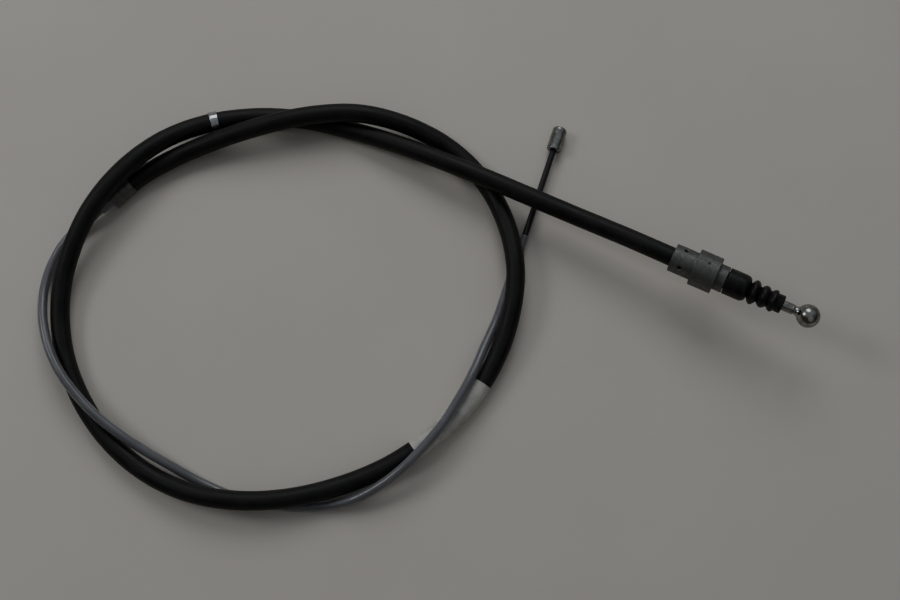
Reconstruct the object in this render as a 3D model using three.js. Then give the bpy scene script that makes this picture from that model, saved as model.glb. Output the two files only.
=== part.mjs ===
// Parking brake cable in mm: the conduit lies in one and a half loops on the floor, +Z up.
// Its ball end is at +X and the bare wire with the barrel is inside the loop.
import * as THREE from "three";

// Rear strand and ball end.
const STRAND_RADIUS = 1.25;
const SHANK_WALL = 1.35;
const SHANK_START = 57;
const SHANK_END = 72.15;
const BALL_RADIUS = 6.45;
const NECK_LENGTH = 2.6;

// Layers of the conduit, from the strand outwards.
const LAYER_GAP = 0.3;
const STRAND_PLAY = 0.35;
const LINER_WALL = 0.5;
const SPIRAL_WALL = 0.7;
const JACKET_WALL = 0.6;
const SLEEVE_WALL = 1.1;

// Stepped ferrule, in lengths along its axis from the face where the sleeve enters.
const ENTRY_WALL = 2.4;
const ENTRY_LENGTH = 13.2;
const SLEEVE_SOCKET = 9;
const COLLAR_STEP = 2.45;
const COLLAR_LENGTH = 13.4;
const NECK_WALL = 3.3;
const NECK_PART = 5.4;
const SPIGOT_LENGTH = 9;
const SPIGOT_WALL = 1.4;
const BARB = 0.35;
const BUSH_WALL = 1.65;
const EDGE = 0.2;
const JACKET_SEAT = 22;

// Dust boot.
const BOOT_WALL = 1.05;
const CUFF_WALL = 1.9;
const FOLD_HEIGHTS = [2.9, 2.05, 2.05];
const FOLD_PITCH = 5.85;
const SHOULDER_LENGTH = 4.3;
const BOOT_COLLAR_WALL = 2.05;
const BOOT_COLLAR_LENGTH = 4.3;

// Band and label on the sleeve, in lengths along the sleeve from the ferrule.
const BAND_PLACE = 285;
const BAND_WIDTH = 4.8;
const BAND_WALL = 0.65;
const LABEL_PLACE = 733.5;
const LABEL_LENGTH = 54;
const LABEL_WALL = 0.4;
const WRAP_GAP = 0.25;

// Cap, washer and nozzle between the conduit and the thin tube, in lengths from the cap's mouth.
const CAP_WALL = 1.4;
const CAP_LENGTH = 14.5;
const CAP_LIP = 0.3;
const CAP_LIP_LENGTH = 2;
const CAP_END_WALL = 1.4;
const CAP_SEAT = 9;
const WASHER_THICKNESS = 2;
const FLANGE_THICKNESS = 1.2;
const NOZZLE_WALL = 0.6;
const NOZZLE_LENGTH = 8.5;

// Thin tube with its coated strand.
const THIN_STRAND_RADIUS = 1;
const COAT_GAP = 0.15;
const COAT_WALL = 0.65;
const TIP_PLAY = 0.15;
const TIP_WALL = 0.3;
const TIP_GAP = 0.15;
const TUBE_WALL = 0.3;
const TIP_OUT = 8;
const TIP_IN = 12;

// Bare wire and barrel nipple, in lengths from the end of the tip.
const STUB_INSIDE = 30;
const WIRE_LENGTH = 54.3;
const BARREL_LENGTH = 14.8;
const BARREL_RADIUS = 4.15;
const BARREL_CHAMFER = 0.7;
const BARREL_BORE_DEPTH = 11.5;
const BARREL_MOUTH_DEPTH = 3;
const TRAVEL = 8;

// Longest straight steps of the two laid lines.
const SLEEVE_STEP = 22;
const TUBE_STEP = 12;

const shankRadius = STRAND_RADIUS + LAYER_GAP + SHANK_WALL;
const linerBore = STRAND_RADIUS + STRAND_PLAY;
const linerRadius = linerBore + LINER_WALL;
const spiralBore = linerRadius + LAYER_GAP;
const spiralRadius = spiralBore + SPIRAL_WALL;
const jacketBore = spiralRadius + LAYER_GAP;
const jacketRadius = jacketBore + JACKET_WALL;
const sleeveBore = jacketRadius + LAYER_GAP;
const sleeveRadius = sleeveBore + SLEEVE_WALL;
const coatBore = THIN_STRAND_RADIUS + COAT_GAP;
const coatRadius = coatBore + COAT_WALL;
const tipBore = coatRadius + TIP_PLAY;
const tipRadius = tipBore + TIP_WALL;
const tubeBore = tipRadius + TIP_GAP;
const tubeRadius = tubeBore + TUBE_WALL;

// Where the lines cross they lie on each other, so the heights follow the thickest crossing.
const LIFT = Math.max(sleeveRadius / 5.4, (sleeveRadius + tubeRadius + 0.3) / 8.4);
// Moves the laid cable so that the middle of its outline is over the origin.
const CENTRE = [4.9, -1, 0];

const at = (p) => new THREE.Vector3(p[0] + CENTRE[0], p[1] + CENTRE[1], p[2] * LIFT + CENTRE[2]);
const along = (line, s) => line.from.clone().addScaledVector(line.way, s);

// Straight axes of the fittings: a starting point and the direction in which lengths count.
const rear = { from: at([136.7, 23, 26.8]), way: new THREE.Vector3(0.8896, -0.443, 0.1113).normalize() };
const middle = { from: at([-175.6, 71.9, 6.1]), way: new THREE.Vector3(-0.745, -0.667, -0.004).normalize() };
const front = { from: at([55.4, 41.8, 3.38]), way: new THREE.Vector3(0.3171, 0.9483, 0.017).normalize() };

// The middle line of the conduit, from the ferrule to the cap.
const CONDUIT = [
  [82.3, 49.3, 20.3], [57.2, 61, 18.5], [31.8, 72.7, 16.9], [5.8, 84.5, 13.9], [-20.3, 95.7, 10.1],
  [-46.6, 105.2, 6.2], [-74.5, 112, 5.6], [-102.8, 113.8, 5.7], [-130.9, 108.8, 8.8], [-156, 96.6, 13.9],
  [-177.3, 77.6, 18], [-194.5, 54.9, 17.2], [-206.4, 29.7, 12.2], [-212, 2.7, 7.2], [-209, -25.6, 5.5],
  [-198.4, -52.2, 5.5], [-182, -75.6, 5.5], [-160.4, -94.2, 6.5], [-134.8, -106.4, 9.4],
  [-106.8, -111.4, 11.4], [-78.5, -110.2, 11], [-50.8, -103.6, 7.8], [-24.4, -92.8, 6], [-1, -77.7, 6.2],
  [20.4, -58.3, 6.2], [36.5, -34.2, 7], [46.1, -7.6, 10], [49.2, 20.3, 11.8], [43.8, 48.6, 8.4],
  [31.4, 73.8, 5.5], [11.4, 94.2, 6.2], [-13.8, 106.8, 10.8], [-41.8, 112.5, 15.3], [-70.2, 110.7, 17],
  [-98.2, 104.9, 15.4], [-125.4, 97.4, 11], [-151.6, 87.4, 7],
];
// The middle line of the thin tube, from the cap to the tip.
const THIN = [
  [-199, 50.8, 4.9], [-211.6, 39.6, 3.2], [-219.4, 25, 3.2], [-222.2, 8.2, 6], [-220.6, -8.6, 9.8],
  [-215.6, -24.8, 12.6], [-207.8, -39.8, 14.1], [-197.2, -53.4, 14.2], [-185, -65.4, 13.4],
  [-171.4, -75.8, 11.6], [-157, -84.9, 8.8], [-142.4, -93.2, 5.8], [-127.6, -101.2, 3.4],
  [-111.8, -107.9, 2.75], [-95.1, -112.2, 2.75], [-78.2, -114.4, 2.9], [-60.9, -114.3, 3.6],
  [-43.9, -111.4, 6.4], [-28.8, -104.3, 10.9], [-15.2, -94.5, 14.6], [-2.9, -82.2, 15.7],
  [7.9, -69.1, 15.8], [17, -54.7, 14.6], [25.2, -39.1, 11.7], [31.9, -23.2, 6.7], [38.8, -7.6, 3.2],
];

function path(points) {
  const curve = new THREE.CatmullRomCurve3(points, false, "centripetal");
  curve.arcLengthDivisions = 3000;
  return curve;
}

const IN_FERRULE = 30;
const IN_CAP = 12;
const conduit = path([
  along(rear, IN_FERRULE),
  along(rear, 0),
  along(rear, -28),
  ...CONDUIT.map(at),
  along(middle, -6),
  along(middle, 0),
  along(middle, IN_CAP),
]);
const thin = path([
  along(middle, CAP_SEAT),
  along(middle, CAP_LENGTH),
  along(middle, CAP_LENGTH + NOZZLE_LENGTH),
  ...THIN.map(at),
  along(front, -STUB_INSIDE - 6),
  along(front, -STUB_INSIDE - 2),
  along(front, -TIP_OUT),
]);

// A stretch of a path with its sections at chosen lengths, so nested pieces bend at the same places.
class Lay extends THREE.Curve {
  constructor(curve, marks) {
    super();
    this.curve = curve;
    this.marks = marks;
  }

  place(u) {
    const k = u * (this.marks.length - 1);
    const i = Math.min(Math.floor(k + 1e-9), this.marks.length - 2);
    const s = this.marks[i] + (k - i) * (this.marks[i + 1] - this.marks[i]);
    return THREE.MathUtils.clamp(s / this.curve.getLength(), 0, 1);
  }

  getPointAt(u, target) {
    return this.curve.getPointAt(this.place(u), target);
  }

  getTangentAt(u, target) {
    return this.curve.getTangentAt(this.place(u), target);
  }
}

// Lengths from one place to another in equal steps, without the first.
function steps(from, to, longest) {
  const count = Math.max(1, Math.ceil((to - from) / longest));
  return Array.from({ length: count }, (_, i) => from + ((i + 1) * (to - from)) / count);
}

// Regular outline: on the circle for an outside, around the circle for a bore.
function outline(radius, sides, isBore) {
  const reach = isBore ? radius / Math.cos(Math.PI / sides) : radius;
  return Array.from({ length: sides }, (_, i) => {
    const turn = (2 * Math.PI * i) / sides;
    return new THREE.Vector2(reach * Math.cos(turn), reach * Math.sin(turn));
  });
}

function laid(curve, marks, radius, bore, sides) {
  const section = new THREE.Shape(outline(radius, sides, false));
  if (bore > 0) section.holes.push(new THREE.Path(outline(bore, sides, true)));
  const options = { steps: marks.length - 1, extrudePath: new Lay(curve, marks) };
  return new THREE.ExtrudeGeometry(section, options);
}

// Turned piece: rows of [length, radius], outside first and away from the start, bore on the way back.
function turned(line, rows, sides, outsideRows = rows.length) {
  const wider = 1 / Math.cos(Math.PI / sides);
  const profile = rows.map(([s, r], i) => new THREE.Vector2(i < outsideRows ? r : r * wider, s));
  if (rows[0][1] > 0) profile.push(profile[0].clone());
  const geometry = new THREE.LatheGeometry(profile, sides);
  const turn = new THREE.Quaternion().setFromUnitVectors(new THREE.Vector3(0, 1, 0), line.way);
  return geometry.applyQuaternion(turn).translate(line.from.x, line.from.y, line.from.z);
}

function finish(color, metalness, roughness) {
  return new THREE.MeshStandardMaterial({ color, metalness, roughness });
}
const zinc = finish(0xb8babd, 0.9, 0.35);
const cast = finish(0x9a9fa6, 0.6, 0.6);
const wire = finish(0x8f9296, 0.8, 0.45);
const rubber = finish(0x101010, 0, 0.7);
const plastic = finish(0x23262a, 0, 0.5);
const greyPlastic = finish(0x6d757c, 0, 0.4);
const paper = finish(0xdedbd0, 0, 0.9);

const cable = new THREE.Group();
function add(name, geometry, material) {
  const mesh = new THREE.Mesh(geometry, material);
  mesh.name = name;
  cable.add(mesh);
}

// Conduit: where each layer starts and ends, as lengths on the conduit's path.
const seatMark = IN_FERRULE;
const mouthMark = conduit.getLength() - IN_CAP;
const bandFrom = seatMark + BAND_PLACE - BAND_WIDTH / 2;
const labelFrom = seatMark + LABEL_PLACE - LABEL_LENGTH / 2;
const sleeveFrom = seatMark - SLEEVE_SOCKET + LAYER_GAP;
const layersFrom = seatMark - JACKET_SEAT + LAYER_GAP;
const strandFrom = seatMark - JACKET_SEAT + TRAVEL + 2 * LAYER_GAP;
const sleeveTo = mouthMark - LAYER_GAP;
const layersTo = mouthMark + CAP_SEAT;
const bandMarks = [bandFrom, bandFrom + BAND_WIDTH];
const labelMarks = [labelFrom, ...steps(labelFrom, labelFrom + LABEL_LENGTH, SLEEVE_STEP)];
const sleeveMarks = [
  sleeveFrom,
  seatMark,
  ...steps(seatMark, bandFrom, SLEEVE_STEP),
  ...bandMarks.slice(1),
  ...steps(bandMarks[1], labelFrom, SLEEVE_STEP),
  ...labelMarks.slice(1),
  ...steps(labelMarks[labelMarks.length - 1], sleeveTo, SLEEVE_STEP),
];
const layerMarks = [layersFrom, ...sleeveMarks, layersTo];

add("rubber_sleeve", laid(conduit, sleeveMarks, sleeveRadius, sleeveBore, 12), rubber);
add("conduit_jacket", laid(conduit, layerMarks, jacketRadius, jacketBore, 8), plastic);
add("conduit_spiral", laid(conduit, layerMarks, spiralRadius, spiralBore, 8), wire);
add("conduit_liner", laid(conduit, layerMarks, linerRadius, linerBore, 6), greyPlastic);
add("conduit_strand", laid(conduit, [strandFrom, ...sleeveMarks, layersTo], STRAND_RADIUS, 0, 6), wire);
const bandBore = sleeveRadius + WRAP_GAP;
add("steel_band", laid(conduit, bandMarks, bandBore + BAND_WALL, bandBore, 16), zinc);
add("paper_label", laid(conduit, labelMarks, bandBore + LABEL_WALL, bandBore, 16), paper);

// Ferrule.
const entryRadius = sleeveRadius + LAYER_GAP + ENTRY_WALL;
const collarRadius = entryRadius + COLLAR_STEP;
const layersBore = jacketRadius + LAYER_GAP;
const neckRadius = layersBore + NECK_WALL;
const bushBore = linerBore;
const bushRadius = bushBore + BUSH_WALL;
const spigotBore = bushRadius + LAYER_GAP;
const spigotRadius = spigotBore + SPIGOT_WALL;
const collarFrom = ENTRY_LENGTH;
const collarTo = collarFrom + COLLAR_LENGTH;
const neckTo = collarTo + NECK_PART;
const spigotTo = neckTo + SPIGOT_LENGTH;
const jacketSeat = Math.min(JACKET_SEAT, neckTo - 2);
add("rear_ferrule", turned(rear, [
  [0, entryRadius - EDGE],
  [EDGE, entryRadius],
  [collarFrom, entryRadius],
  [collarFrom, collarRadius - EDGE],
  [collarFrom + EDGE, collarRadius],
  [collarTo - EDGE, collarRadius],
  [collarTo, collarRadius - EDGE],
  [collarTo, neckRadius],
  [neckTo - EDGE, neckRadius],
  [neckTo, neckRadius - EDGE],
  [neckTo, spigotRadius],
  [spigotTo - 3, spigotRadius],
  [spigotTo - 3, spigotRadius + BARB],
  [spigotTo, spigotRadius - 0.4],
  [spigotTo, spigotBore],
  [jacketSeat, spigotBore],
  [jacketSeat, layersBore],
  [SLEEVE_SOCKET, layersBore],
  [SLEEVE_SOCKET, sleeveRadius + LAYER_GAP],
  [0, sleeveRadius + LAYER_GAP],
], 24, 14), cast);
add("rear_guide_bush", turned(rear, [
  [jacketSeat + LAYER_GAP, bushBore],
  [jacketSeat + LAYER_GAP, bushRadius],
  [spigotTo + LAYER_GAP, bushRadius],
  [spigotTo + LAYER_GAP, bushRadius + 1],
  [spigotTo + 1.4, bushRadius + 1],
  [spigotTo + 1.4, bushBore],
], 12, 5), greyPlastic);

// Boot: cuff, shoulder, folds and collar.
const cuffBore = spigotRadius + BARB + LAYER_GAP;
const cuffRadius = cuffBore + CUFF_WALL;
const collarBore = shankRadius + LAYER_GAP;
const valleyRadius = collarBore + BOOT_WALL;
const cuffFrom = neckTo + LAYER_GAP;
const cuffTo = neckTo + SPIGOT_LENGTH + 0.3;
// Half a fold from its valley to its crest, steep at first and round at the crest.
const swell = (k) => Math.sin((Math.PI / 2) * k) ** 0.8;
const RISING = [0.18, 0.52, 1];
const FALLING = [0.48, 0.82, 1];
// The shoulder stays wide and then drops like a quarter of a circle.
const drop = (k) => Math.sqrt(1 - k ** 2.6);
const SHOULDER_SHARES = [0.4, 0.65, 0.82, 0.94, 1];
const shoulderTo = cuffTo + SHOULDER_LENGTH;
const folds = [];
FOLD_HEIGHTS.forEach((height, i) => {
  const s = shoulderTo + i * FOLD_PITCH;
  const half = FOLD_PITCH / 2;
  folds.push(...RISING.map((k) => [s + k * half, valleyRadius + height * swell(k)]));
  if (i === FOLD_HEIGHTS.length - 1) return;
  folds.push(...FALLING.map((k) => [s + (1 + k) * half, valleyRadius + height * swell(1 - k)]));
});
const lastCrest = folds[folds.length - 1];
const bootCollarFrom = lastCrest[0] + 1.4;
const bootTo = bootCollarFrom + BOOT_COLLAR_LENGTH - 0.3;
const shoulderRows = (reach, top, foot) =>
  SHOULDER_SHARES.map((k) => [cuffTo + k * reach, foot + drop(k) * (top - foot)]);
const shoulder = shoulderRows(SHOULDER_LENGTH, cuffRadius, valleyRadius);
const inside = [
  ...folds.slice(0, -1).reverse().map(([s, r]) => [s, r - BOOT_WALL]),
  ...shoulderRows(SHOULDER_LENGTH - BOOT_WALL, cuffBore, collarBore).reverse(),
];
const bootOutside = [
  [cuffFrom, cuffBore],
  [cuffFrom, cuffRadius],
  [cuffTo, cuffRadius],
  ...shoulder,
  ...folds,
  [bootCollarFrom, collarBore + BOOT_COLLAR_WALL],
  [bootTo - 0.9, collarBore + BOOT_COLLAR_WALL],
  [bootTo - 0.25, collarBore + BOOT_COLLAR_WALL - 0.3],
  [bootTo, collarBore + BOOT_COLLAR_WALL - 0.8],
];
add("boot", turned(rear, [
  ...bootOutside,
  [bootTo, collarBore],
  [lastCrest[0] - 0.2, collarBore],
  ...inside,
  [cuffTo, cuffBore],
], 16, bootOutside.length), rubber);

// Ball end with its blind bore, and the strand fixed in it.
const blindBore = STRAND_RADIUS + LAYER_GAP;
const ballCentre = SHANK_END + NECK_LENGTH + Math.sqrt(BALL_RADIUS ** 2 - (shankRadius + 0.3) ** 2);
const ballStart = Math.asin((shankRadius + 0.3) / BALL_RADIUS);
const BALL_ROWS = 9;
const ball = Array.from({ length: BALL_ROWS + 1 }, (_, i) => {
  const turn = ballStart + (i * (Math.PI - ballStart)) / BALL_ROWS;
  const r = i === BALL_ROWS ? 0 : BALL_RADIUS * Math.sin(turn);
  return [ballCentre - BALL_RADIUS * Math.cos(turn), r];
});
add("ball_end", turned(rear, [
  [SHANK_END - 2, 0],
  [SHANK_END - 2, blindBore / Math.cos(Math.PI / 16)],
  [SHANK_START, blindBore / Math.cos(Math.PI / 16)],
  [SHANK_START, shankRadius - 0.4],
  [SHANK_START + 0.6, shankRadius],
  [SHANK_END - 0.6, shankRadius],
  [SHANK_END, shankRadius - 0.35],
  [SHANK_END + 0.6, shankRadius - 0.5],
  ...ball,
], 16), zinc);
add("rear_strand", turned(rear, [
  [JACKET_SEAT, 0],
  [JACKET_SEAT, STRAND_RADIUS],
  [SHANK_END - 2 - LAYER_GAP, STRAND_RADIUS],
  [SHANK_END - 2 - LAYER_GAP, 0],
], 10), wire);

// Cap, washer and nozzle.
const nozzleBore = tubeRadius + LAYER_GAP;
const nozzleRadius = nozzleBore + NOZZLE_WALL;
const capBore = jacketRadius + LAYER_GAP;
const capRadius = capBore + CAP_WALL;
const wireHole = THIN_STRAND_RADIUS + LAYER_GAP;
const washerFrom = CAP_SEAT + LAYER_GAP;
const flangeFrom = washerFrom + WASHER_THICKNESS + LAYER_GAP;
const flangeTo = flangeFrom + FLANGE_THICKNESS;
const capEnd = Math.max(CAP_LENGTH, flangeTo + LAYER_GAP + CAP_END_WALL);
const nozzleTo = capEnd + NOZZLE_LENGTH;
add("mid_cap", turned(middle, [
  [0, capBore],
  [0, capRadius - 0.2],
  [0.4, capRadius],
  [capEnd - CAP_LIP_LENGTH, capRadius],
  [capEnd - CAP_LIP_LENGTH, capRadius + CAP_LIP],
  [capEnd, capRadius + CAP_LIP],
  [capEnd, nozzleRadius + LAYER_GAP],
  [capEnd - CAP_END_WALL, nozzleRadius + LAYER_GAP],
  [capEnd - CAP_END_WALL, capBore],
], 20, 6), cast);
add("mid_washer", turned(middle, [
  [washerFrom, wireHole],
  [washerFrom, jacketRadius],
  [washerFrom + WASHER_THICKNESS, jacketRadius],
  [washerFrom + WASHER_THICKNESS, wireHole],
], 16, 3), greyPlastic);
add("mid_nozzle", turned(middle, [
  [flangeFrom, wireHole],
  [flangeFrom, jacketRadius],
  [flangeTo, jacketRadius],
  [flangeTo, nozzleRadius],
  [nozzleTo - 0.6, nozzleRadius],
  [nozzleTo, nozzleRadius - 0.3],
  [nozzleTo, nozzleBore],
  [flangeTo + 1.2, nozzleBore],
  [flangeTo + 1.2, wireHole],
], 16, 6), greyPlastic);

// Thin tube, its coated strand and its tip.
const thinEnd = thin.getLength();
const tubeFrom = flangeTo + 1.2 + LAYER_GAP - CAP_SEAT;
const guidedTo = thinEnd - (STUB_INSIDE - TIP_OUT) - LAYER_GAP;
const tubeMarks = [tubeFrom, nozzleTo - CAP_SEAT];
tubeMarks.push(...steps(tubeMarks[1], guidedTo, TUBE_STEP));
add("guide_tube", laid(thin, [...tubeMarks, thinEnd], tubeRadius, tubeBore, 10), greyPlastic);
add("guided_coat", laid(thin, tubeMarks, coatRadius, coatBore, 6), plastic);
add("guided_strand", laid(thin, [LAYER_GAP, ...tubeMarks], THIN_STRAND_RADIUS, 0, 6), wire);
add("guide_tube_tip", turned(front, [
  [-TIP_OUT - TIP_IN, tipBore],
  [-TIP_OUT - TIP_IN, tipRadius],
  [-0.5, tipRadius],
  [0, tipRadius - 0.15],
  [0, tipBore],
], 14, 4), greyPlastic);

// Bare wire and barrel.
const barrelTo = WIRE_LENGTH + BARREL_LENGTH;
const mouthTo = WIRE_LENGTH + BARREL_MOUTH_DEPTH;
const coatHole = coatRadius + LAYER_GAP;
add("front_coat", turned(front, [
  [-STUB_INSIDE, coatBore],
  [-STUB_INSIDE, coatRadius],
  [mouthTo - LAYER_GAP, coatRadius],
  [mouthTo - LAYER_GAP, coatBore],
], 12, 3), plastic);
add("front_strand", turned(front, [
  [-STUB_INSIDE, 0],
  [-STUB_INSIDE, THIN_STRAND_RADIUS],
  [WIRE_LENGTH + BARREL_BORE_DEPTH - LAYER_GAP, THIN_STRAND_RADIUS],
  [WIRE_LENGTH + BARREL_BORE_DEPTH - LAYER_GAP, 0],
], 10), wire);
add("barrel_nipple", turned(front, [
  [WIRE_LENGTH + BARREL_BORE_DEPTH, 0],
  [WIRE_LENGTH + BARREL_BORE_DEPTH, wireHole],
  [mouthTo, wireHole],
  [mouthTo, coatHole],
  [WIRE_LENGTH, coatHole],
  [WIRE_LENGTH, BARREL_RADIUS - BARREL_CHAMFER],
  [WIRE_LENGTH + BARREL_CHAMFER, BARREL_RADIUS],
  [barrelTo - 1.8, BARREL_RADIUS],
  [barrelTo - 1.1, BARREL_RADIUS * 0.9],
  [barrelTo - 0.4, BARREL_RADIUS * 0.68],
  [barrelTo - 0.1, BARREL_RADIUS * 0.4],
  [barrelTo, 0],
], 20), zinc);

export default cable;
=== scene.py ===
# %% [markdown]
# # A parking brake cable
# The real cable is about 1.8 m long. A ball end, a rubber boot and a stepped ferrule sit at one end,
# a rubber-sleeved conduit runs in one and a half loops, and a thin guide tube with a bare wire and a
# barrel nipple ends beside the loop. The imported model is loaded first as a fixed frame, and every
# piece below is made round the same axes and routes. Values are in mm and the meshes in metres.

# %% Load the frame
import math

import bpy
import numpy as np
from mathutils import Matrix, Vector


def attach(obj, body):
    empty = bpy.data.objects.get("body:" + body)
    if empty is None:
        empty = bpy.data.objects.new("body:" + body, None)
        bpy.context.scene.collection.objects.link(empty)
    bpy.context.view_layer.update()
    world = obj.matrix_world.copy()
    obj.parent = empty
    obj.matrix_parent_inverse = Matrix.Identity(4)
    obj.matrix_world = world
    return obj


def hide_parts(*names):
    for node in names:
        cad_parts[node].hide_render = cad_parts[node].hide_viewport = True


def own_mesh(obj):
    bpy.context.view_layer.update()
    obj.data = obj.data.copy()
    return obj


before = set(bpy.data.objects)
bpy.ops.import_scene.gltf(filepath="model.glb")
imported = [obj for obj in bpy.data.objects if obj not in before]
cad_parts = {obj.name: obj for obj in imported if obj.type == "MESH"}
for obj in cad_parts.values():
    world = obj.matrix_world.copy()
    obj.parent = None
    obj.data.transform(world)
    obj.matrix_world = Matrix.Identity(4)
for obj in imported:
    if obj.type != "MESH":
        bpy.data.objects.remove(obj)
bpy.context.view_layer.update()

# %% [markdown]
# ## The camera
# The photograph looks down on the cable from 78 degrees above the floor. A camera could be placed by
# hand, but the view was worked out from the photograph's proportions, so its distance, target and
# angle of view are written here as numbers. It is made first, because the cords are judged in it.

# %% Camera
MM = 0.001
CENTRE = np.array([4.9, -1.0, 0.0])
ELEVATION = math.radians(78)
DISTANCE = 717 * MM
TARGET = (np.array([11.6, 4.0, 0.0]) + CENTRE) * MM
VIEW_ANGLE = math.radians(40)

camera_data = bpy.data.cameras.new("camera")
camera_data.sensor_width = 36
camera_data.lens = 18 / math.tan(VIEW_ANGLE / 2)
camera = bpy.data.objects.new("camera", camera_data)
camera.location = TARGET + DISTANCE * np.array([0, -math.cos(ELEVATION), math.sin(ELEVATION)])
camera.rotation_euler = (math.pi / 2 - ELEVATION, 0, 0)
bpy.context.scene.collection.objects.link(camera)
bpy.context.scene.camera = camera
print("camera at", [round(c, 3) for c in camera.location])

# %% [markdown]
# ## Middle lines
# Conduit, tube and wire are round things carried along a line, and so are the turned fittings, whose
# line is straight. One kind of line serves both. The bent ones pass through chosen points by a
# Catmull-Rom curve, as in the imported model, and lengths are then measured along them. A Blender curve
# with a bevel would be quicker, but it gives no bore, no stepped profile and no pattern in lengths.

# %% Lines that pieces follow
def smooth_points(points, per=20):
    """Between neighbours b and c the point is a cubic in t from 0 to 1. It leaves b and reaches c with
    the slopes of a Catmull-Rom curve whose knots are spaced by the square root of each distance."""
    p = np.asarray(points, float)
    p = np.vstack([2 * p[0] - p[1], p, 2 * p[-1] - p[-2]])
    a, b, c, d = (p[k:len(p) - 3 + k, None] for k in range(4))
    ab, bc, cd = (np.sqrt(np.linalg.norm(v - u, axis=-1, keepdims=True)) for u, v in ((a, b), (b, c), (c, d)))
    leave = bc * ((b - a) / ab - (c - a) / (ab + bc) + (c - b) / bc)
    reach = bc * ((c - b) / bc - (d - b) / (bc + cd) + (d - c) / cd)
    t = np.linspace(0, 1, per, endpoint=False)[None, :, None]
    curve = b + leave * t + (3 * (c - b) - 2 * leave - reach) * t**2 + (2 * (b - c) + leave + reach) * t**3
    return np.vstack([curve.reshape(-1, 3), p[-2]])


class Line:
    """A middle line in mm. Lengths count from its first point, and past its ends it runs on straight."""

    def __init__(self, points):
        self.points = np.asarray(points, float)
        pieces = np.linalg.norm(np.diff(self.points, axis=0), axis=1)
        self.lengths = np.concatenate([[0], np.cumsum(pieces)])
        self.length = float(self.lengths[-1])
        slopes = np.gradient(self.points, self.lengths, axis=0)
        self.slopes = slopes / np.linalg.norm(slopes, axis=1, keepdims=True)

    def at(self, s):
        """Centre by linear interpolation in length, and the level side, the up and the along directions."""
        s = np.asarray(s, float)
        inside = np.clip(s, 0, self.length)
        pick = lambda table: np.stack([np.interp(inside, self.lengths, column) for column in table.T], -1)
        ahead = pick(self.slopes)
        ahead /= np.linalg.norm(ahead, axis=-1, keepdims=True)
        side = np.cross(ahead, [0, 0, 1])
        side /= np.linalg.norm(side, axis=-1, keepdims=True)
        return pick(self.points) + (s - inside)[..., None] * ahead, side, np.cross(side, ahead), ahead

    def point(self, s):
        """The line's point at length s, in metres."""
        return tuple(float(c) for c in self.at(s)[0] * MM)


def straight(start, way):
    """The axis of a turned fitting: it leaves start, in mm from the middle of the part, along way."""
    start, way = np.asarray(start, float) + CENTRE, np.asarray(way, float)
    return Line([start, start + way / np.linalg.norm(way)])


rear = straight([136.7, 23, 26.8], [0.8896, -0.443, 0.1113])
middle = straight([-175.6, 71.9, 6.1], [-0.745, -0.667, -0.004])
front = straight([55.4, 41.8, 3.38], [0.3171, 0.9483, 0.017])
rear_way = rear.at(0)[3]
print("the rear axis rises", round(math.degrees(math.asin(rear_way[2])), 1), "degrees")

# %% [markdown]
# ## The route of the cable
# A cable this stiff lies in wide bends and lifts off the floor only where it crosses itself. The
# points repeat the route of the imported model. The conduit's line starts 30 mm inside the ferrule and
# ends 12 mm inside the end cap. The tube's line starts 9 mm inside that cap and ends 8 mm short of the
# tube's tip, where the straight axis of wire and barrel takes over.

# %% Routes
CONDUIT = np.array([
    [82.3, 49.3, 20.3], [57.2, 61, 18.5], [31.8, 72.7, 16.9], [5.8, 84.5, 13.9], [-20.3, 95.7, 10.1],
    [-46.6, 105.2, 6.2], [-74.5, 112, 5.6], [-102.8, 113.8, 5.7], [-130.9, 108.8, 8.8], [-156, 96.6, 13.9],
    [-177.3, 77.6, 18], [-194.5, 54.9, 17.2], [-206.4, 29.7, 12.2], [-212, 2.7, 7.2], [-209, -25.6, 5.5],
    [-198.4, -52.2, 5.5], [-182, -75.6, 5.5], [-160.4, -94.2, 6.5], [-134.8, -106.4, 9.4],
    [-106.8, -111.4, 11.4], [-78.5, -110.2, 11], [-50.8, -103.6, 7.8], [-24.4, -92.8, 6], [-1, -77.7, 6.2],
    [20.4, -58.3, 6.2], [36.5, -34.2, 7], [46.1, -7.6, 10], [49.2, 20.3, 11.8], [43.8, 48.6, 8.4],
    [31.4, 73.8, 5.5], [11.4, 94.2, 6.2], [-13.8, 106.8, 10.8], [-41.8, 112.5, 15.3], [-70.2, 110.7, 17],
    [-98.2, 104.9, 15.4], [-125.4, 97.4, 11], [-151.6, 87.4, 7],
])
THIN = np.array([
    [-199, 50.8, 4.9], [-211.6, 39.6, 3.2], [-219.4, 25, 3.2], [-222.2, 8.2, 6], [-220.6, -8.6, 9.8],
    [-215.6, -24.8, 12.6], [-207.8, -39.8, 14.1], [-197.2, -53.4, 14.2], [-185, -65.4, 13.4],
    [-171.4, -75.8, 11.6], [-157, -84.9, 8.8], [-142.4, -93.2, 5.8], [-127.6, -101.2, 3.4],
    [-111.8, -107.9, 2.75], [-95.1, -112.2, 2.75], [-78.2, -114.4, 2.9], [-60.9, -114.3, 3.6],
    [-43.9, -111.4, 6.4], [-28.8, -104.3, 10.9], [-15.2, -94.5, 14.6], [-2.9, -82.2, 15.7],
    [7.9, -69.1, 15.8], [17, -54.7, 14.6], [25.2, -39.1, 11.7], [31.9, -23.2, 6.7], [38.8, -7.6, 3.2],
])
SEAT = 30.0
IN_CAP = 12.0
CAP_SEAT = 9.0
CAP_TO = 14.5
NOZZLE_TO = 23.0
TUBE_END = -8.0
conduit_ends = rear.at([SEAT, 0, -28])[0], middle.at([-6, 0, IN_CAP])[0]
thin_ends = middle.at([CAP_SEAT, CAP_TO, NOZZLE_TO])[0], front.at([-36, -32, TUBE_END])[0]
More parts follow.
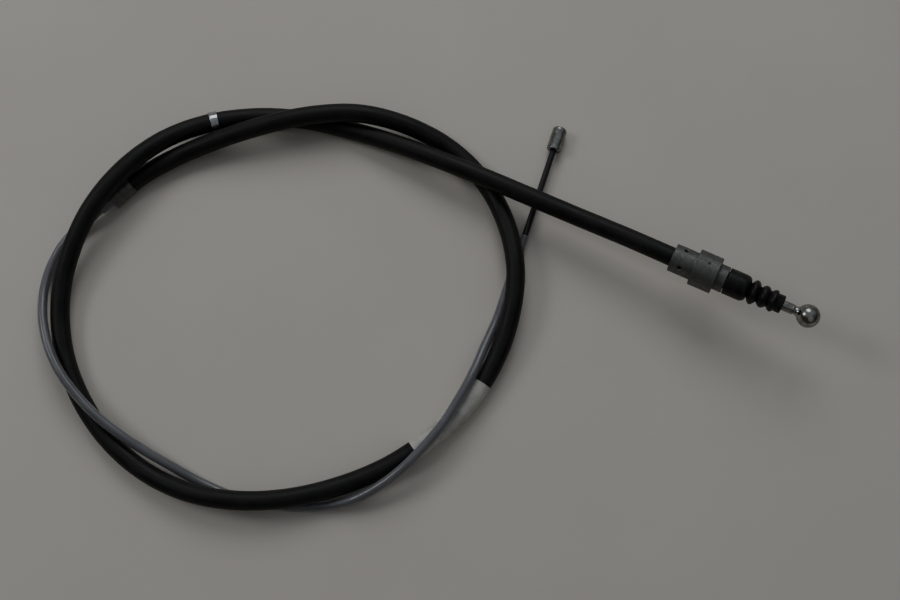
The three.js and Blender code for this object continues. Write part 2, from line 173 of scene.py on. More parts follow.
conduit = Line(smooth_points(np.vstack([conduit_ends[0], CONDUIT + CENTRE, conduit_ends[1]])))
thin = Line(smooth_points(np.vstack([thin_ends[0], THIN + CENTRE, thin_ends[1]])))
print("conduit line", round(conduit.length, 1), "mm, tube line", round(thin.length, 1), "mm")

# %% [markdown]
# ## One surface for everything round
# Each piece is a profile of lengths and radii carried along its line: out along the outside and back
# along the bore, so a tube is one closed wall. Corners of the profile are eased first, because a real
# edge is never sharp. A relief may then push the surface in or out by place and angle, which gives
# dents, crimps and seams as geometry. How far it was pushed in is kept as the attribute hollow, for
# finishes that paint shade there. Angle 0 is underneath, so the seam of the UV map lies there.

# %% Profiles
def eased(rows, reach, closed=True, count=4):
    """Each corner becomes a parabola from a point before it to a point after it, (1-t)^2 A + 2t(1-t) P
    + t^2 B, with A and B at most reach away and never past the middle of an edge."""
    p = np.asarray(rows, float)
    before, after = np.roll(p, 1, 0), np.roll(p, -1, 0)
    t = np.linspace(0, 1, count)[None, :, None]

    def towards(q):
        gap = np.linalg.norm(q - p, axis=1, keepdims=True)
        return (p + (q - p) / np.maximum(gap, 1e-9) * np.minimum(reach, 0.48 * gap))[:, None]

    corners = (1 - t) ** 2 * towards(before) + 2 * t * (1 - t) * p[:, None] + t**2 * towards(after)
    if closed:
        return corners.reshape(-1, 2)
    return np.vstack([p[:1], corners[1:-1].reshape(-1, 2), p[-1:]])


def dense(rows, step, closed=True):
    """More rows on the same profile, evenly between its own, at most step apart."""
    p = np.asarray(rows, float)
    q = np.vstack([p, p[:1]]) if closed else p
    counts = np.maximum(1, np.ceil(np.linalg.norm(np.diff(q, axis=0), axis=1) / step)).astype(int)
    places = np.concatenate([i + np.arange(n) / n for i, n in enumerate(counts)] + [[len(q) - 1]])
    full = np.stack([np.interp(places, np.arange(len(q)), column) for column in q.T], -1)
    return full[:-1] if closed else full


# %% The carried surface
def carried(name, line, rows, sides, relief=None, closed=True, sharp=35):
    """Point (i, j) is the line's centre at length s_i plus radius r_ij times the direction
    -up cos(a_j) + side sin(a_j). A row of radius 0 at an end of an open profile is one point."""
    rows = np.asarray(rows, float)
    count = len(rows)
    turn = np.arange(sides) * 2 * np.pi / sides
    S = np.repeat(rows[:, :1], sides, 1)
    A = np.repeat(turn[None], count, 0)
    R = np.repeat(rows[:, 1:], sides, 1)
    pushed = relief(S, A, R) * (R > 0) if relief is not None else np.zeros(R.shape)
    R = R + pushed
    centre, side, up, _ = line.at(rows[:, 0])
    spoke = np.sin(A)[..., None] * side[:, None] - np.cos(A)[..., None] * up[:, None]
    points = (centre[:, None] + R[..., None] * spoke).reshape(-1, 3) * MM

    index = np.arange(count * sides).reshape(count, sides)
    poles = [] if closed else [k for k in (0, count - 1) if rows[k, 1] == 0]
    for k in poles:
        index[k] = index[k, 0]
    i = np.arange(count if closed else count - 1)
    j = np.arange(sides)
    I, J = (m.ravel() for m in np.meshgrid(i, j, indexing="ij"))
    nextI, nextJ = (I + 1) % count, (J + 1) % sides
    faces = np.stack([index[I, J], index[nextI, J], index[nextI, nextJ], index[I, nextJ]], 1)
    S_next = np.where(I + 1 < count, S[nextI, 0], S[I, 0])
    uv = np.stack([np.stack([s * MM, (J + k) / sides], 1) for s, k in
                   ((S[I, 0], 0), (S_next, 0), (S_next, 1), (S[I, 0], 1))], 1)

    keep = np.ones(faces.shape, bool)
    keep[faces[:, 0] == faces[:, 3], 3] = False
    keep[faces[:, 1] == faces[:, 2], 2] = False
    used, compact = np.unique(faces, return_inverse=True)
    compact = compact.reshape(faces.shape)
    corners = keep.sum(1)
    mesh = bpy.data.meshes.new(name)
    mesh.vertices.add(len(used))
    mesh.vertices.foreach_set("co", points[used].ravel())
    mesh.loops.add(int(corners.sum()))
    mesh.loops.foreach_set("vertex_index", compact[keep])
    mesh.polygons.add(len(faces))
    mesh.polygons.foreach_set("loop_start", np.concatenate([[0], np.cumsum(corners)[:-1]]))
    mesh.update(calc_edges=True)
    hollow = mesh.attributes.new("hollow", "FLOAT", "POINT")
    hollow.data.foreach_set("value", -pushed.ravel()[used])
    layer = mesh.uv_layers.new(name="along")
    layer.data.foreach_set("uv", uv[keep].ravel())
    mesh.validate()
    mesh.shade_smooth()
    mesh.set_sharp_from_angle(angle=math.radians(sharp))
    piece = bpy.data.objects.new(name, mesh)
    bpy.context.scene.collection.objects.link(piece)
    print(f"{name}: {len(used)} points, {len(faces)} faces")
    return piece


def dress(piece, material, body, slot, *nodes):
    """Gives a piece its finish, its moving body and the solids that it stands for. The material slot is not
    used.
    """
    piece.data.materials.append(material)
    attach(piece, body)
    if nodes:
        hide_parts(*nodes)
    return piece


# %% [markdown]
# ## Finishes
# Every finish is a small tree of noise textures. Patterns that follow the cable, such as the faint
# lines that the extruder leaves, read the UV map, whose first value is the length in metres and whose
# second is the turn round the piece. Everything else reads Object coordinates. Image textures would
# need files, and the noise has detail at any zoom.

# %% Tools for finishes
def new_finish(name, **sockets):
    """A material whose plain values are set on the shader's own sockets."""
    material = bpy.data.materials.new(name)
    material.use_nodes = True
    shader = material.node_tree.nodes["Principled BSDF"]
    for socket, value in sockets.items():
        shader.inputs[socket.replace("_", " ")].default_value = value
    return material, material.node_tree, shader


def node(tree, kind, inputs=None, **settings):
    made = tree.nodes.new("ShaderNode" + kind)
    for key, value in settings.items():
        setattr(made, key, value)
    for key, value in (inputs or {}).items():
        if isinstance(value, bpy.types.NodeSocket):
            tree.links.new(value, made.inputs[key])
        else:
            made.inputs[key].default_value = value
    return made


def noise(tree, scale, stretch=(1, 1, 1), detail=4.0, rough=0.55, source="Object", warp=0.0):
    """Noise from 0 to 1, with its coordinates multiplied by scale and stretch."""
    place = node(tree, "TexCoord").outputs[source]
    spread = node(tree, "Mapping", {"Vector": place, "Scale": [scale * k for k in stretch]})
    return node(tree, "TexNoise", {"Vector": spread.outputs[0], "Scale": 1.0, "Detail": detail,
                                   "Roughness": rough, "Distortion": warp}).outputs["Fac"]


def ramp(tree, value, *stops):
    """Colour or grey along a value: stops are (place, grey or colour)."""
    made = node(tree, "ValToRGB", {"Fac": value})
    bar = made.color_ramp
    for element, (place, _) in zip(bar.elements, (stops[0], stops[-1])):
        element.position = place
    for place, _ in stops[1:-1]:
        bar.elements.new(place)
    for element, (_, colour) in zip(bar.elements, stops):
        element.color = (*((colour,) * 3 if isinstance(colour, (int, float)) else colour), 1)
    return made.outputs["Color"]


def mix(tree, share, a, b, blend="MIX"):
    made = node(tree, "Mix", data_type="RGBA", blend_type=blend)
    for socket, value in zip((made.inputs[0], made.inputs[6], made.inputs[7]), (share, a, b)):
        if isinstance(value, bpy.types.NodeSocket):
            tree.links.new(value, socket)
        elif isinstance(value, (int, float)):
            socket.default_value = value
        else:
            socket.default_value = (*value, 1)
    return made.outputs[2]


def bumps(tree, shader, *layers):
    """Stacks bumps: each layer is (height, distance in mm, strength)."""
    normal = None
    for height, distance, strength in layers:
        inputs = {"Height": height, "Distance": distance * MM, "Strength": strength}
        if normal is not None:
            inputs["Normal"] = normal
        normal = node(tree, "Bump", inputs).outputs[0]
    tree.links.new(normal, shader.inputs["Normal"])


# %% [markdown]
# ### Rubbers and plastics
# The sleeve is extruded rubber: matt black, dusty in patches, with fine lines along it and a few rubbed
# stretches. The boot is moulded and a little shinier. The wire's coat is smooth black plastic. The
# guide tube is translucent, so the dark coat in it shows as a darker middle between lighter rims. Plain
# grey paint would give neither, so light passes through this plastic and a thin gloss lies on its skin.
# Bush and washer are dark moulded plastic.

# %% Sleeve rubber
sleeve_rubber, tree, shader = new_finish("sleeve_rubber", Specular_IOR_Level=0.26)
lines = noise(tree, 1.0, (9, 46, 1), source="UV", detail=3)
dust = noise(tree, 70, detail=6, rough=0.65)
grain = noise(tree, 2600, detail=2)
base = ramp(tree, dust, (0.36, (0.0062, 0.0060, 0.0063)), (0.62, (0.015, 0.0147, 0.0145)))
streaked = mix(tree, 0.6, base, ramp(tree, lines, (0.35, 0.35), (0.65, 1.0)), "MULTIPLY")
rubbing = noise(tree, 1.0, (26, 5, 1), source="UV", detail=6, rough=0.7, warp=0.6)
scuffs = ramp(tree, rubbing, (0.60, 0.0), (0.72, 0.55))
tree.links.new(mix(tree, scuffs, streaked, (0.036, 0.036, 0.037)), shader.inputs["Base Color"])
tree.links.new(ramp(tree, dust, (0.3, 0.40), (0.7, 0.6)), shader.inputs["Roughness"])
bumps(tree, shader, (lines, 0.12, 0.5), (grain, 0.05, 0.4))

# %% Boot rubber
boot_rubber, tree, shader = new_finish("boot_rubber", Specular_IOR_Level=0.28)
bloom = noise(tree, 260, detail=5, rough=0.6)
base = ramp(tree, bloom, (0.4, (0.005, 0.005, 0.0052)), (0.68, (0.013, 0.0128, 0.0126)))
tree.links.new(base, shader.inputs["Base Color"])
tree.links.new(ramp(tree, bloom, (0.35, 0.34), (0.7, 0.52)), shader.inputs["Roughness"])
bumps(tree, shader, (noise(tree, 900, detail=3), 0.06, 0.35))

# %% Wire coat
coat_plastic, tree, shader = new_finish("coat_plastic", Specular_IOR_Level=0.5)
lines = noise(tree, 1.0, (30, 14, 1), source="UV", detail=3)
tree.links.new(ramp(tree, lines, (0.35, 0.006), (0.7, 0.014)), shader.inputs["Base Color"])
tree.links.new(ramp(tree, noise(tree, 400), (0.35, 0.3), (0.7, 0.42)), shader.inputs["Roughness"])
bumps(tree, shader, (lines, 0.05, 0.4))

# %% Guide tube plastic
tube_plastic, tree, shader = new_finish(
    "tube_plastic", IOR=1.46, Transmission_Weight=0.8, Specular_IOR_Level=0.45,
    Coat_Weight=0.5, Coat_Roughness=0.12)
lines = noise(tree, 1.0, (12, 22, 1), source="UV", detail=3)
cloud = noise(tree, 55, detail=5)
base = ramp(tree, cloud, (0.36, (0.45, 0.46, 0.50)), (0.64, (0.54, 0.55, 0.59)))
tree.links.new(mix(tree, 0.3, base, ramp(tree, lines, (0.3, 0.7), (0.7, 1.0)), "MULTIPLY"),
               shader.inputs["Base Color"])
tree.links.new(ramp(tree, cloud, (0.3, 0.3), (0.7, 0.42)), shader.inputs["Roughness"])
bumps(tree, shader, (lines, 0.06, 0.45))

# %% Moulded plastic
moulded_plastic, tree, shader = new_finish("moulded_plastic", Specular_IOR_Level=0.4)
cloud = noise(tree, 240, detail=5)
base = ramp(tree, cloud, (0.36, (0.018, 0.019, 0.021)), (0.64, (0.034, 0.035, 0.038)))
tree.links.new(base, shader.inputs["Base Color"])
tree.links.new(ramp(tree, cloud, (0.3, 0.36), (0.7, 0.5)), shader.inputs["Roughness"])
bumps(tree, shader, (noise(tree, 1200, detail=3), 0.04, 0.4))

# %% [markdown]
# ### Metals
# The ferrule and the end cap are dark grey, matt and mottled, with painted shade darkening their
# stakes, mark and crimps. Ball, shank, barrel and band are plated and clouded. One function makes both
# platings, because they differ only in their greys: the band is clean and bright, the fittings are
# handled and duller. The wire is bare steel, drawn along its length.

# %% Cast metal
cast_metal, tree, shader = new_finish("cast_metal", Metallic=0.85)
cloud = noise(tree, 420, detail=8, rough=0.7)
pits = noise(tree, 1500, detail=3)
base = ramp(tree, cloud, (0.34, (0.118, 0.122, 0.116)), (0.52, (0.15, 0.153, 0.144)),
            (0.7, (0.185, 0.186, 0.174)))
grimy = mix(tree, 0.5, base, ramp(tree, pits, (0.32, 0.5), (0.5, 1.0)), "MULTIPLY")
hollow = node(tree, "Attribute", attribute_name="hollow").outputs["Fac"]
# painted shade: the deeper a point was pushed in, the nearer its colour goes to black
hollow_shade = ramp(tree, hollow, (0.18, 0.0), (0.75, 1.0))
tree.links.new(mix(tree, hollow_shade, grimy, (0.012, 0.011, 0.010)), shader.inputs["Base Color"])
tree.links.new(ramp(tree, cloud, (0.3, 0.62), (0.7, 0.46)), shader.inputs["Roughness"])
bumps(tree, shader, (cloud, 0.12, 0.5), (pits, 0.07, 0.5))

# %% Zinc plate
def plated(name, dull, bright, rim):
    """A plated metal with clouds from dull to bright. The rim is its grey where it is seen edge on."""
    material, tree, shader = new_finish(name, Metallic=1.0, Specular_Tint=(rim, rim, rim, 1))
    cloud = noise(tree, 320, detail=6, rough=0.6)
    tree.links.new(ramp(tree, cloud, (0.35, dull), (0.65, bright)), shader.inputs["Base Color"])
    tree.links.new(ramp(tree, cloud, (0.3, 0.26), (0.7, 0.14)), shader.inputs["Roughness"])
    bumps(tree, shader, (noise(tree, 500, detail=4), 0.02, 0.2))
    return material


band_zinc = plated("band_zinc", (0.36, 0.37, 0.375), (0.56, 0.57, 0.58), 0.8)
fitting_zinc = plated("fitting_zinc", (0.19, 0.193, 0.178), (0.44, 0.443, 0.42), 0.45)

# %% Bare wire
bare_wire, tree, shader = new_finish("bare_wire", Metallic=1.0)
drawn = noise(tree, 1.0, (60, 30, 1), source="UV", detail=4)
tree.links.new(ramp(tree, drawn, (0.35, 0.34), (0.65, 0.56)), shader.inputs["Base Color"])
tree.links.new(ramp(tree, drawn, (0.35, 0.42), (0.65, 0.3)), shader.inputs["Roughness"])
bumps(tree, shader, (drawn, 0.03, 0.4))

# %% Label paper
label_paper, tree, shader = new_finish("label_paper", Specular_IOR_Level=0.25)
fibre = noise(tree, 1800, detail=5, rough=0.7)
stain = noise(tree, 120, detail=5)
base = ramp(tree, stain, (0.32, (0.44, 0.43, 0.385)), (0.62, (0.65, 0.645, 0.61)))
tree.links.new(mix(tree, 0.25, base, ramp(tree, fibre, (0.3, 0.75), (0.6, 1.0)), "MULTIPLY"),
               shader.inputs["Base Color"])
tree.links.new(ramp(tree, fibre, (0.3, 0.8), (0.7, 0.62)), shader.inputs["Roughness"])
bumps(tree, shader, (stain, 0.25, 0.4), (fibre, 0.03, 0.5))
print(len(bpy.data.materials), "finishes")

# %% [markdown]
# ## The sleeved conduit
# From outside in, the conduit is a rubber sleeve, a plastic jacket, a spiral of flat wire, a plastic
# liner and the strand. Only the sleeve shows, but the layers are made along the same line, so a cut
# anywhere would show them nested. The sleeve is the first free cord: it leaves the ferrule and ends in
# the cap.

# %% Conduit layers
STRAND, LINER, SPIRAL, JACKET, SLEEVE = 1.25, (2.1, 1.6), (3.1, 2.4), (4.0, 3.4), (5.4, 4.3)
LAYER_GAP = 0.3
SLEEVE_SEAT, JACKET_SEAT = 9, 22
MOUTH = conduit.length - IN_CAP
SLEEVE_FROM, SLEEVE_TO = SEAT - SLEEVE_SEAT + LAYER_GAP, MOUTH - LAYER_GAP
LAYERS_FROM, LAYERS_TO = SEAT - JACKET_SEAT + LAYER_GAP, MOUTH + CAP_SEAT


def wall(start, end, radii, step, bore_step):
    """Rows of a tube: its outside from start to end and its bore back, with eased rims."""
    outer, inner = radii
    rim = np.array([[start, inner], [start, outer], [end, outer], [end, inner]])
    corners = eased(rim, 0.25 * (outer - inner)).reshape(4, -1, 2)
    run = np.arange(start + 2, end - 2, step)
    back = np.arange(start + 2, end - 2, bore_step)[::-1]
    return np.vstack([corners[1], np.stack([run, np.full(len(run), outer)], 1), corners[2], corners[3],
                      np.stack([back, np.full(len(back), inner)], 1), corners[0]])


def weathered(S, A, R):
    """A few hundredths of a mm of waviness along and round the sleeve, none in its bore."""
    wave = np.sin(S / 7.3) * np.sin(2 * A + S / 31) + 0.6 * np.sin(S / 3.1 + A)
    return 0.02 * wave * (R > 5)


sleeve = carried("sleeve", conduit, wall(SLEEVE_FROM, SLEEVE_TO, SLEEVE, 2, 5), 48, weathered)
dress(sleeve, sleeve_rubber, "conduit", "rubber", "rubber_sleeve")
jacket = carried("jacket", conduit, wall(LAYERS_FROM, LAYERS_TO, JACKET, 5, 5), 24)
dress(jacket, coat_plastic, "conduit", "black_plastic", "conduit_jacket")
spiral = carried("spiral", conduit, wall(LAYERS_FROM, LAYERS_TO, SPIRAL, 5, 5), 20)
dress(spiral, bare_wire, "conduit", "wire", "conduit_spiral")
liner = carried("liner", conduit, wall(LAYERS_FROM, LAYERS_TO, LINER, 5, 5), 16)
dress(liner, tube_plastic, "conduit", "grey_plastic", "conduit_liner")

# %% [markdown]
# The strand is twisted wire. As a surface it is a round bar whose radius follows six lobes that turn
# as they go, which costs far fewer faces than separate wires. The end that slides with the ball and
# the part that stays in the conduit are two pieces, with the travel left free between them.

# %% Strands
def twisted(lobes, pitch, depth):
    """Radius falls by depth between lobes: -depth (1 - |cos(lobes/2 (a - 2 pi s / pitch))|)."""
    return lambda S, A, R: -depth * (1 - np.abs(np.cos(lobes / 2 * (A - 2 * np.pi * S / pitch))))


def bar(start, end, radius, step):
    """Rows of a solid round bar, closed on its line at both ends."""
    run = np.linspace(start, end, max(2, int((end - start) / step)))
    body = np.stack([run, np.full(len(run), radius)], 1)
    return np.vstack([[start, 0], body, [end, 0]])


TRAVEL = 8
STRAND_LAY = twisted(6, 18, 0.22)
BALL_BORE_END = 70.15
still_rows = bar(SEAT - JACKET_SEAT + TRAVEL + 2 * LAYER_GAP, LAYERS_TO, STRAND, 1.5)
conduit_strand = carried("still_strand", conduit, still_rows, 14, STRAND_LAY, closed=False)
dress(conduit_strand, bare_wire, "conduit", "wire", "conduit_strand")
pulled_rows = bar(JACKET_SEAT, BALL_BORE_END - LAYER_GAP, STRAND, 0.4)
rear_strand = carried("pulled_strand", rear, pulled_rows, 42, STRAND_LAY, closed=False)
dress(rear_strand, bare_wire, "ball", "wire", "rear_strand")

# %% [markdown]
# ## Band and label
# A bright steel band is closed round the sleeve, and a strip of paper is wrapped round it further on.
# The band's ends meet in a narrow groove low on one side, where it doesn't show from above. The paper
# overlaps itself, and its edges lift a little, so its relief is a step plus a curl. It stays bare.

# %% Steel band
def clinched(S, A, R):
    """A groove across the band where its ends meet, and a slight flat on either side of it."""
    away = np.angle(np.exp(1j * (A - 0.9)))
    groove = 0.42 * np.exp(-((away / 0.035) ** 2))
    flat = 0.1 * np.exp(-((away / 0.3) ** 2))
    return -groove * (R > 5.8) - flat * (R > 5.8)


BAND_PLACE, BAND_WIDTH = 285, 4.8
BAND_FROM, BAND_TO = SEAT + BAND_PLACE - BAND_WIDTH / 2, SEAT + BAND_PLACE + BAND_WIDTH / 2
band_rim = [[BAND_FROM, 5.45], [BAND_FROM, 6.1], [BAND_TO, 6.1], [BAND_TO, 5.45]]
band_rows = dense(eased(band_rim, 0.25), 0.8)
band = carried("steel_band_ring", conduit, band_rows, 180, clinched)
dress(band, band_zinc, "conduit", "zinc_plate", "steel_band")

# %% Paper label
LABEL_PLACE, LABEL_LENGTH = 733.5, 54
LABEL_FROM, LABEL_TO = SEAT + LABEL_PLACE - LABEL_LENGTH / 2, SEAT + LABEL_PLACE + LABEL_LENGTH / 2


def wrapped(S, A, R):
    """The free end lies on the first turn, the long edges curl up, and the paper has shallow waves."""
    overlap = 0.09 / (1 + np.exp(-40 * (np.cos(A - 5.4) - 0.80)))
    edge = np.minimum(S - LABEL_FROM, LABEL_TO - S)
    curl = 0.10 * np.exp(-edge / 0.7) * (0.5 + 0.5 * np.sin(3 * A + S / 9))
    waves = 0.025 * np.sin(S / 2.9 + 1.3 * np.sin(2 * A)) * np.sin(2 * A + 0.7)
    return overlap + curl + waves


label_rows = dense([[LABEL_FROM, 5.48], [LABEL_FROM, 5.6], [LABEL_TO, 5.6], [LABEL_TO, 5.48]], 0.7)
label = carried("label_wrap", conduit, label_rows, 96, wrapped, sharp=50)
dress(label, label_paper, "conduit", "paper", "paper_label")

# %% [markdown]
# ## The stepped ferrule
# The ferrule is a small casting, turned in steps: an entry section with a socket for the sleeve, a
# wide collar, a narrower neck, and a barbed spigot that the boot is pushed over. Two round stakes
# hold the sleeve, and the collar has one faint mark.

# %% Ferrule
def dent(S, A, R, place, angle, width, depth, above):
    """A round hollow with steep sides: depth times exp(-(distance / width)^4), measured on the surface."""
    apart = R * np.angle(np.exp(1j * (A - angle)))
    return -depth * np.exp(-(((S - place) ** 2 + apart**2) / width**2) ** 2) * (R > above)


def staked(S, A, R):
    """Two stakes on the entry section, one mark on the collar, and a faint parting line on each side."""
    stakes = dent(S, A, R, 6.1, 2.29, 1.0, 1.5, 7) + dent(S, A, R, 6.1, 3.75, 1.0, 1.5, 7)
    mark = dent(S, A, R, 20.6, 3.33, 0.9, 0.4, 9)
    parting = 0.05 * np.exp(-((np.sin(A - 0.5) / 0.02) ** 2)) * (R > 7)
    return stakes + mark + parting


ferrule_rows = [
    [0, 7.9], [0.2, 8.1], [13.2, 8.1], [13.2, 10.35], [13.4, 10.55], [26.4, 10.55], [26.6, 10.35],
    [26.6, 7.6], [31.8, 7.6], [32, 7.4], [32, 5], [38, 5], [38, 5.35], [41, 4.6], [41, 3.55],
    [22, 3.55], [22, 4.3], [9, 4.3], [9, 5.7], [0, 5.7],
]
ferrule = carried("stepped_ferrule", rear, dense(eased(ferrule_rows, 0.14), 0.3), 220, staked)
dress(ferrule, cast_metal, "conduit", "cast_metal", "rear_ferrule")
bush_rows = [[22.3, 1.6], [22.3, 3.25], [41.3, 3.25], [41.3, 4.25], [42.4, 4.25], [42.4, 1.6]]
bush = carried("guide_bush", rear, eased(bush_rows, 0.15), 48)
dress(bush, moulded_plastic, "conduit", "grey_plastic", "rear_guide_bush")

# %% [markdown]
# ## The dust boot
# The boot is one moulding of black rubber: a cuff on the spigot, a shoulder, three folds and a collar
# round the shank. When the ball is pulled in, the folds close up like a bellows while the cuff stays.
# So the cuff is one piece that rides on the ferrule, and the folds and collar are a second piece.

# %% Boot profile
CUFF_FROM, CUFF_TO = 32.3, 41.3
CUFF, CUFF_BORE = 7.65, 5.75
COLLAR_BORE, BOOT_WALL = 3.2, 1.05
VALLEY = COLLAR_BORE + BOOT_WALL
SHOULDER = CUFF_TO + 4.3
PITCH = 5.85
SWELL = [(0, 0.0), (0.5, 2.9), (1, 0.1), (1.5, 2.2), (2, 0.4), (2.5, 2.2)]
BOOT_TO = 65.6


def shouldered(reach, top, foot, count=16):
    """Stays wide and then drops like a quarter circle: foot + (top - foot) sqrt(1 - k^2.6)."""
    k = np.sin(np.linspace(0, math.pi / 2, count))[1:]
    return np.stack([CUFF_TO + k * reach, foot + np.sqrt(1 - k**2.6) * (top - foot)], 1)


def folded(start, end, count=13):
    """Half a fold: its swell follows sin(pi/2 k)^0.8, with k from 0 in the valley to 1 on the crest. The
    valley's own corner is rounded by easing k over its first tenth."""
    along = (1 - np.cos(np.linspace(0, math.pi, count)[1:])) / 2
    k = along if end[1] > start[1] else 1 - along
    soft = np.sqrt(k**2 + 0.0036) - 0.06 * (1 - k)
    low, high = sorted((start[1], end[1]))
    share = np.sin(np.clip(soft, 0, 1) * math.pi / 2) ** 0.8
    return np.stack([start[0] + along * (end[0] - start[0]), low + share * (high - low)], 1)


turns = [(SHOULDER + PITCH * k, VALLEY + h) for k, h in SWELL]
shoulder_rows = shouldered(SHOULDER - CUFF_TO, CUFF, VALLEY)
fold_rows = np.vstack([folded(a, b) for a, b in zip(turns[:-1], turns[1:])])
last = fold_rows[-1]
collar_rows = folded(last, (last[0] + 1.4, 5.1), 7)
rim = np.linspace(0, math.pi / 2, 7)
rim_rows = np.stack([BOOT_TO - 0.9 + 0.9 * np.sin(rim), 4.35 + 0.9 * np.cos(rim)], 1)
outside = np.vstack([shoulder_rows, fold_rows, collar_rows, rim_rows])
LEAST = COLLAR_BORE + 0.05
inner = np.stack([fold_rows[:, 0], np.maximum(fold_rows[:, 1] - BOOT_WALL, LEAST)], 1)
inner_shoulder = shouldered(SHOULDER - CUFF_TO - BOOT_WALL, CUFF_BORE, LEAST)
folds_profile = np.vstack([
    [[CUFF_TO, CUFF_BORE], [CUFF_TO, CUFF]], outside, [[BOOT_TO, COLLAR_BORE], [last[0], COLLAR_BORE]],
    inner[::-1][1:], inner_shoulder[::-1]])
print("the boot's outside has", len(outside), "rows, three folds")

# %% Boot pieces
def moulded(S, A, R):
    """A faint flash line on both sides of the boot, where the mould's halves met."""
    return 0.06 * np.exp(-((np.sin(A - 1.1) / 0.03) ** 2)) * (R > 4)


cuff_rows = [[CUFF_FROM, 5.65], [CUFF_FROM, CUFF - 0.4], [CUFF_FROM + 0.4, CUFF], [CUFF_TO, CUFF],
             [CUFF_TO, CUFF_BORE]]
cuff_profile = dense(eased(cuff_rows, 0.1), 0.8)
cuff = carried("boot_cuff", rear, cuff_profile, 96, moulded)
dress(cuff, boot_rubber, "conduit", "rubber", "boot")
folds = carried("boot_folds", rear, folds_profile, 96, moulded, sharp=60)
dress(folds, boot_rubber, "conduit", "rubber", "boot")
rear.point(CUFF_TO)
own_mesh(folds)

# %% [markdown]
# ## The ball end
# A steel ball stands on a waisted neck and a shank, which is swaged onto the strand. The press leaves
# flats and fine ridges along the shank. Ball, neck and shank are one piece, so they are one profile
# that starts in the blind bore and ends on the axis at the ball's pole.

# %% Ball end
BALL, SHANK, NECK_TOP = 6.45, 2.9, 3.2
SHANK_FROM, SHANK_TO, NECK_LENGTH = 57, 72.15, 2.6
ball_centre = SHANK_TO + NECK_LENGTH + math.sqrt(BALL**2 - NECK_TOP**2)
around = np.linspace(math.asin(NECK_TOP / BALL), math.pi, 40)
ball_rows = np.stack([ball_centre - BALL * np.cos(around), BALL * np.sin(around)], 1)
ball_rows[-1, 1] = 0
bore = [[BALL_BORE_END, 0], [BALL_BORE_END, 1.55], [SHANK_FROM, 1.55]]
shank_corners = [
    [SHANK_FROM, 2.0], [SHANK_FROM, 2.5], [SHANK_FROM + 0.6, SHANK], [71.8, SHANK], [72.1, 2.5],
    [72.75, 2.35], [73.75, 2.6], [74.55, 3.0], [SHANK_TO + NECK_LENGTH, NECK_TOP]]
shank_rows = dense(eased(shank_corners, 0.2, closed=False), 0.3, closed=False)


def swaged(S, A, R):
    """Eight pressed flats on the shank with a ridge between each pair, and none past its end."""
    on = (R > 2.6) / (1 + np.exp((S - 71.3) / 0.12))
    ridges = np.exp(-((np.sin(4 * A) / 0.12) ** 2))
    return -0.16 * on * np.cos(4 * A) ** 2 + 0.09 * on * ridges


ball_profile = np.vstack([bore, shank_rows, ball_rows[1:]])
ball_end = carried("ball_and_shank", rear, ball_profile, 144, swaged, closed=False)
dress(ball_end, fitting_zinc, "ball", "zinc_plate", "ball_end")

# %% [markdown]
# ## Where the conduit ends
# A light metal cap is crimped over the conduit's end and has a lip at its far rim. Inside it a washer
# takes the thrust, and a flanged nozzle comes out through the cap's floor and holds the thin tube. The
# crimps are part of the surface, because they would catch the light wrongly as a mere bump.

# %% Cap, washer and nozzle
def crimped(S, A, R):
    """Two shallow rings pressed round the cap, deeper at six places."""
    press = np.exp(-(((S - 4.2) / 0.6) ** 2)) + np.exp(-(((S - 8.4) / 0.6) ** 2))
    return -press * (0.16 + 0.08 * np.cos(6 * A)) * (R > 5.2)


cap_rows = [[0, 4.3], [0, 5.5], [0.4, 5.7], [12.5, 5.7], [12.5, 6.0], [CAP_TO, 6.0], [CAP_TO, 3.9],
            [13.1, 3.9], [13.1, 4.3]]
cap = carried("end_cap", middle, dense(eased(cap_rows, 0.15), 0.35), 96, crimped)
dress(cap, cast_metal, "conduit", "cast_metal", "mid_cap")
washer = carried("thrust_washer", middle, eased([[9.3, 1.3], [9.3, 4], [11.3, 4], [11.3, 1.3]], 0.15), 48)
dress(washer, moulded_plastic, "conduit", "grey_plastic", "mid_washer")
nozzle_rows = [[11.6, 1.3], [11.6, 4], [12.8, 4], [12.8, 3.6], [16.5, 3.6], [21.5, 3.35],
               [NOZZLE_TO, 3.2], [NOZZLE_TO, 2.8], [14, 2.8], [14, 1.3]]
nozzle = carried("tube_nozzle", middle, dense(eased(nozzle_rows, 0.2), 0.6), 64)
dress(nozzle, tube_plastic, "conduit", "grey_plastic", "mid_nozzle")

# %% [markdown]
# ## The guide tube and the bare wire
# The tube is the second free cord. It leaves the nozzle, crosses over and under the conduit, and ends
# in a narrow tip. The coated wire comes out of the tip and is the third cord, with the barrel on its
# end. Wire and barrel move together, so they ride on the barrel's body.

# %% Guide tube
TUBE, COAT, THIN_STRAND = (2.7, 2.4), (1.8, 1.15), 1.0
STUB = 30
TUBE_FROM = 14.3 - CAP_SEAT
GUIDED_TO = thin.length - (STUB + TUBE_END) - LAYER_GAP
tube = carried("guide_tube_skin", thin, wall(TUBE_FROM, thin.length, TUBE, 1.5, 3), 36)
dress(tube, tube_plastic, "conduit", "grey_plastic", "guide_tube")
guided_coat = carried("still_coat", thin, wall(TUBE_FROM, GUIDED_TO, COAT, 4, 4), 16)
dress(guided_coat, coat_plastic, "conduit", "black_plastic", "guided_coat")
guided_rows = bar(LAYER_GAP, GUIDED_TO, THIN_STRAND, 3)
guided_strand = carried("still_thin_strand", thin, guided_rows, 12, closed=False)
dress(guided_strand, bare_wire, "conduit", "wire", "guided_strand")
tip_rows = [[-20, 1.95], [-20, 2.25], [-3.2, 2.25], [-0.6, 2.2], [0, 2.05], [0, 1.95]]
tip = carried("tube_tip", front, dense(eased(tip_rows, 0.12), 0.8), 40)
dress(tip, tube_plastic, "conduit", "grey_plastic", "guide_tube_tip")

